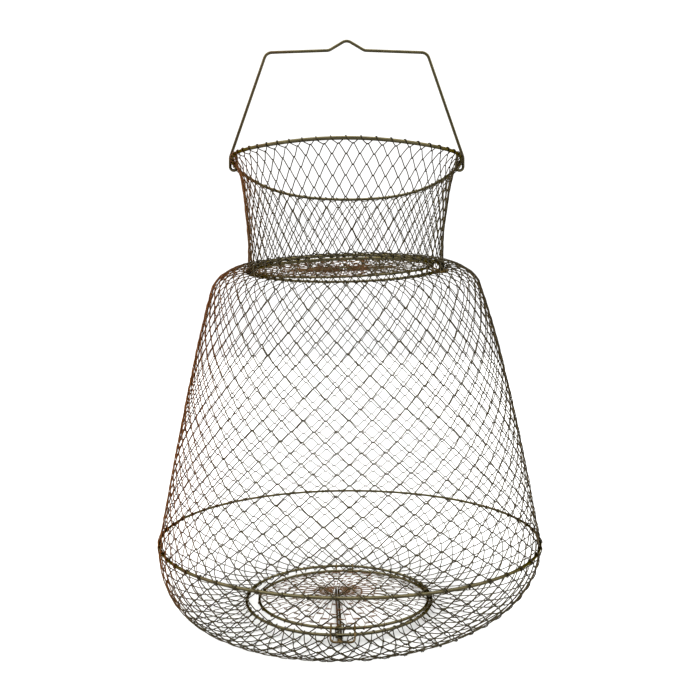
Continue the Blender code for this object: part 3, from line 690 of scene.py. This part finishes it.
lid = {"radius": 80.0 * mm, "offset": 4.3 * mm, "rise": math.radians(2.15), "roll": math.radians(1.36),
       "stopPlay": 0.3 * mm, "stopShort": 4 * mm, "stopLong": 5 * mm}      # the stop's reach, from the hoop

linkY = lid["radius"] * math.sin(fittings["linkStep"])
linkOut = lid["radius"] * math.cos(fittings["linkStep"])
neckSide = math.sqrt(cage["neckRadius"] ** 2 - linkY ** 2)
neckLeft = Vector((cage["neckShift"] - neckSide, 0, cage["neckHeight"] - cage["neckTilt"] * neckSide))
lidPlace = (Matrix.Translation(neckLeft)
            @ Matrix.Rotation(lid["roll"], 4, "X") @ Matrix.Rotation(-lid["rise"], 4, "Y"))
lidFrame = lidPlace @ Matrix.Translation((lid["offset"] + linkOut, 0, 0))
addWire("lid_ring", [ringPath(lidFrame, (0, 0), lid["radius"])], cage["hoopWire"], brassWire, "lid",
        "brass_wire", sides=12)
lidRows = weaveDisc(lidFrame, lid["radius"], (0, 0), weave["lidRows"], clear["lid"], {}, 21)
addWire("lid_net", lidRows, weave["flatWire"], gatheredWire, "lid", "gathered_wire", sides=weave["sides"])
addCollar("lid_net_collar", lidFrame, (0, 0), "lid")
turned = lidPlace.to_3x3()
for name, way in (("front", -1), ("rear", 1)):
    first, second = (lidPlace @ Vector((x, way * linkY, 0)) for x in (0, lid["offset"]))
    path = linkPath(first, second, turned @ Vector((0, 1, 0)))
    addWire("lid_hinge_link_" + name, [path], fittings["link"], springWire, "lid", "spring_wire", sides=10)
feet = [lidFrame @ Vector((linkOut, way * linkY, 0)) for way in (-1, 1)]
under = cage["hoopWire"] / 2 + fittings["fit"] + fittings["stop"] / 2
hoopOut = cage["neckShift"] + cage["neckRadius"] - feet[0].x
out, up = turned @ Vector((1, 0, 0)), turned @ Vector((0, 0, 1))
neckRight = float(onCage(cage["neckRadius"], cage["neckHeight"], 0.0)[2]) - cage["neckLean"] * linkY
drop = (neckRight - under - lid["stopPlay"] - feet[1].z - out.z * hoopOut) / up.z
addStop("lid_stop_loop", stopPath(feet, out, up, ((hoopOut - lid["stopShort"], drop),
                                                  (hoopOut + lid["stopLong"], drop)), -1), "lid")

spring = {"wire": 0.9 * mm, "radius": 2.2 * mm, "pitch": 1.38 * mm, "turns": 8, "lidLeg": 24.0 * mm,
          "neckLeg": 18.0 * mm, "legRise": 0.85 * mm, "legLean": 0.2 * mm, "stiffHalf": 4.6 * mm}


def springPath():
    end = spring["pitch"] * spring["turns"] / 2
    sag = (cage["neckRadius"] - math.sqrt(cage["neckRadius"] ** 2 - end ** 2)) / 2
    middle = onCage(cage["neckRadius"], cage["neckHeight"], pi) + np.array([sag, 0, 0])
    part = np.linspace(0, 1, 24 * spring["turns"] + 1)
    turn = -pi / 2 + 2 * pi * (spring["turns"] + 0.25) * part
    coil = middle + np.stack([spring["radius"] * np.cos(turn), end * (2 * part - 1),
                              spring["radius"] * np.sin(turn)], axis=1)
    rise = spring["lidLeg"] * math.sin(lid["rise"]) + spring["legRise"]
    lidLeg = coil[0] + np.array([spring["lidLeg"], 0, rise]) * np.linspace(1, 0.04, 24)[:, None]
    neckLeg = np.array([spring["legLean"], 0, spring["neckLeg"]]) * np.linspace(0.05, 1, 18)[:, None]
    neckLeg = coil[-1] + neckLeg
    return np.vstack([lidLeg, coil, neckLeg])


lidSpring = addWire("lid_spring", [springPath()], spring["wire"], springWire, None, "spring_wire",
                    closed=False, sides=8, tips=0.7)
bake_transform(lidSpring)
print("lid made")


# The door in the base, and its latch

door = {"radius": 75.3 * mm, "shift": -5.6 * mm, "back": 3.0 * mm, "front": 7.9 * mm,
        "gather": (-6.4 * mm, 14.0 * mm),       # its middle, to the left of the door's and behind it
        "slotAngle": math.radians(-86), "slotHalf": 2.4 * mm, "slotReach": 8.3 * mm,    # room for the latch
        "stopHalf": 9.4 * mm, "stopPlay": 0.4 * mm, "stopFlat": 1 * mm, "stopReach": 7.5 * mm,
        "stopFall": 5.4 * mm}
latch = {"wire": 1.9 * mm, "half": 1.15 * mm, "overlap": 4.5 * mm, "tail": 7.0 * mm, "prong": 6.0 * mm,
         "noseX": -7.7 * mm, "skew": math.radians(2.35), "noseShare": 0.96, "pointGap": 0.6 * mm,
         "guideTurn": math.radians(40), "guideBend": 1.2 * mm}

linkX = door["radius"] * math.sin(fittings["linkStep"])
doorBack = door["radius"] * math.cos(fittings["linkStep"])
tilt = math.asin((door["front"] - door["back"]) / (2 * door["radius"]))
doorPlace = Matrix.Translation((door["shift"], doorBack, door["back"])) @ Matrix.Rotation(-tilt, 4, "X")
doorFrame = doorPlace @ Matrix.Translation((0, -doorBack, 0))
addWire("door_ring", [ringPath(doorFrame, (0, 0), door["radius"])], cage["hoopWire"], brassWire, "door",
        "brass_wire", sides=12)
latchSlot = {"slot": {"angle": door["slotAngle"], "half": door["slotHalf"], "reach": door["slotReach"]}}
doorRows = weaveDisc(doorFrame, door["radius"], door["gather"], weave["doorRows"], clear["door"],
                     latchSlot, 22)
addWire("door_net", doorRows, weave["flatWire"], gatheredWire, "door", "gathered_wire", sides=weave["sides"])
addCollar("door_net_collar", doorFrame, door["gather"], "door")
for name, way in (("left", -1), ("right", 1)):
    x = door["shift"] + way * linkX
    hoopY = math.sqrt(cage["bottomRadius"] ** 2 - (x - cage["bottomShift"]) ** 2)
    path = linkPath(Vector((x, doorBack, door["back"])), Vector((x, hoopY, cage["bottomHeight"])),
                    Vector((1, 0, 0)))
    addWire("door_hinge_link_" + name, [path], fittings["link"], springWire, "base", "spring_wire", sides=10)
turned = doorPlace.to_3x3()
stopOut = math.sqrt(door["radius"] ** 2 - door["stopHalf"] ** 2)
feet = [doorFrame @ Vector((way * door["stopHalf"], -stopOut, 0)) for way in (-1, 1)]
over = cage["bottomHeight"] + under + door["stopPlay"] - feet[0].z
hoopOut = cage["bottomRadius"] + feet[0].y
out, up = turned @ Vector((0, -1, 0)), turned @ Vector((0, 0, 1))
path = stopPath(feet, out, up, ((hoopOut + door["stopFlat"], over),
                                (hoopOut + door["stopReach"], over - door["stopFall"])), 1)
addStop("door_stop_loop", path, "door")

latchHeight = cage["bottomHeight"] - cage["hoopWire"] / 2 - fittings["fit"] - latch["wire"] / 2
nose = Vector((latch["noseX"], -cage["bottomRadius"] - latch["overlap"], latchHeight))
latchPlace = Matrix.Translation(nose) @ Matrix.Rotation(latch["skew"], 4, "Z")
tail = latch["tail"] - nose.y
hairpin = [latchPlace @ Vector((way * latch["half"], y, z)) for way, y, z in
           ((-1, tail, latch["prong"]), (-1, tail, 0), (-1, 0, 0), (1, 0, 0), (1, tail, 0),
            (1, tail, latch["prong"]))]
addWire("latch_hairpin", [evenly(rounded(hairpin, latch["half"] * latch["noseShare"]), latch["pointGap"])],
        latch["wire"], springWire, "latch", "spring_wire", closed=False, sides=10, tips=0.8)
guide = doorFrame @ Vector((0, -door["radius"], 0))
guideX = (latchPlace @ Vector((0, -nose.y - door["radius"], 0))).x
aroundWire = fittings["fit"] + fittings["link"] / 2
low = latchHeight - latch["wire"] / 2 - aroundWire
high = guide.z + cage["hoopWire"] / 2 + aroundWire
slantX, slantY = math.cos(latch["guideTurn"]), math.sin(latch["guideTurn"])
half = (latch["half"] + latch["wire"] / 2 + aroundWire) / slantX
box = [(guideX + x * slantX, guide.y + x * slantY, z) for x, z in
       ((0, low), (half, low), (half, high), (-half, high), (-half, low), (0, low))]
guidePath = evenly(rounded(box, latch["guideBend"])[:-1], fittings["pointGap"], closed=True)
addWire("latch_guide_loop", [guidePath], fittings["link"], springWire, "door", "spring_wire", sides=10)
print("door and latch made")


# Floor, light and camera

studio = {
    "floorSize": 40.0, "floorColour": "#A2A2A0", "floorRough": 0.9,
    "backdrop": 1.2,            # the white that the camera sees behind the basket
    "front": 0.15, "around": 2.2, "above": 6.0,     # light from front and back, both sides, and overhead
    "aroundFrom": (0.3, 0.85), "aboveFrom": (0.35, 0.75),   # how far to the side or up the last two set in
    "keyPower": 4.0, "keySize": 1.6, "keyPlace": (-0.9, -1.1, 1.9), "keyAim": (0, 0, 0.2),
}

floorMesh = bpy.data.meshes.new("floor")
edge = studio["floorSize"] / 2
floorMesh.from_pydata([(-edge, -edge, 0), (edge, -edge, 0), (edge, edge, 0), (-edge, edge, 0)], [],
                      [(0, 1, 2, 3)])
floor = bpy.data.objects.new("floor", floorMesh)
bpy.context.scene.collection.objects.link(floor)
floorMaterial, _, floorShader = newMaterial("paleStudioFloor")      # matt grey paint, lit until it is white
floorShader.inputs["Base Color"].default_value = hexColour(studio["floorColour"])
floorShader.inputs["Roughness"].default_value = studio["floorRough"]
floorMesh.materials.append(floorMaterial)

world = bpy.data.worlds.new("softStudio")
bpy.context.scene.world = world
world.use_nodes = True
sky = world.node_tree           # soft light from overhead and both sides, dim front and back, white backdrop
direction = addNode(sky, "ShaderNodeTexCoord").outputs["Generated"]
facing = addNode(sky, "ShaderNodeSeparateXYZ", (), {0: direction})
aside = addNode(sky, "ShaderNodeMath", {"operation": "ABSOLUTE"}, {0: facing.outputs[0]})
soft = {"interpolation_type": "SMOOTHSTEP"}
low, high = studio["aroundFrom"]
level = addNode(sky, "ShaderNodeMapRange", {"From Min": low, "From Max": high, "To Min": studio["front"],
                                            "To Max": studio["around"], **soft}, {"Value": aside.outputs[0]})
low, high = studio["aboveFrom"]
overhead = addNode(sky, "ShaderNodeMapRange", {"From Min": low, "From Max": high, **soft},
                   {"Value": facing.outputs[2]})
light = addNode(sky, "ShaderNodeMix", {"data_type": "FLOAT", 3: studio["above"]},
                {0: overhead.outputs[0], 2: level.outputs[0]})
seen = addNode(sky, "ShaderNodeLightPath").outputs["Is Camera Ray"]
strength = addNode(sky, "ShaderNodeMix", {"data_type": "FLOAT", 3: studio["backdrop"]},
                   {0: seen, 2: light.outputs[0]})
background = sky.nodes["Background"]
background.inputs["Color"].default_value = (1.0, 1.0, 1.0, 1.0)
sky.links.new(strength.outputs[0], background.inputs["Strength"])

keyData = bpy.data.lights.new("softKey", "AREA")
keyData.energy = studio["keyPower"]
keyData.size = studio["keySize"]
key = bpy.data.objects.new("softKey", keyData)
bpy.context.scene.collection.objects.link(key)
key.location = studio["keyPlace"]
key.rotation_euler = (Vector(studio["keyAim"]) - key.location).to_track_quat("-Z", "Y").to_euler()

view = {"distance": 0.597, "height": 0.2272, "lens": 34.05, "sensor": 36.0, "near": 0.01}       # level
cameraData = bpy.data.cameras.new("camera")
cameraData.lens = view["lens"]
cameraData.sensor_width = view["sensor"]
cameraData.clip_start = view["near"]
camera = bpy.data.objects.new("camera", cameraData)
bpy.context.scene.collection.objects.link(camera)
camera.location = (0.0, -view["distance"], view["height"])
camera.rotation_euler = (math.radians(90), 0.0, 0.0)
bpy.context.scene.camera = camera
bpy.context.scene.view_settings.view_transform = "Standard"     # plain whites, as the photograph has
print("floor, light and camera made")
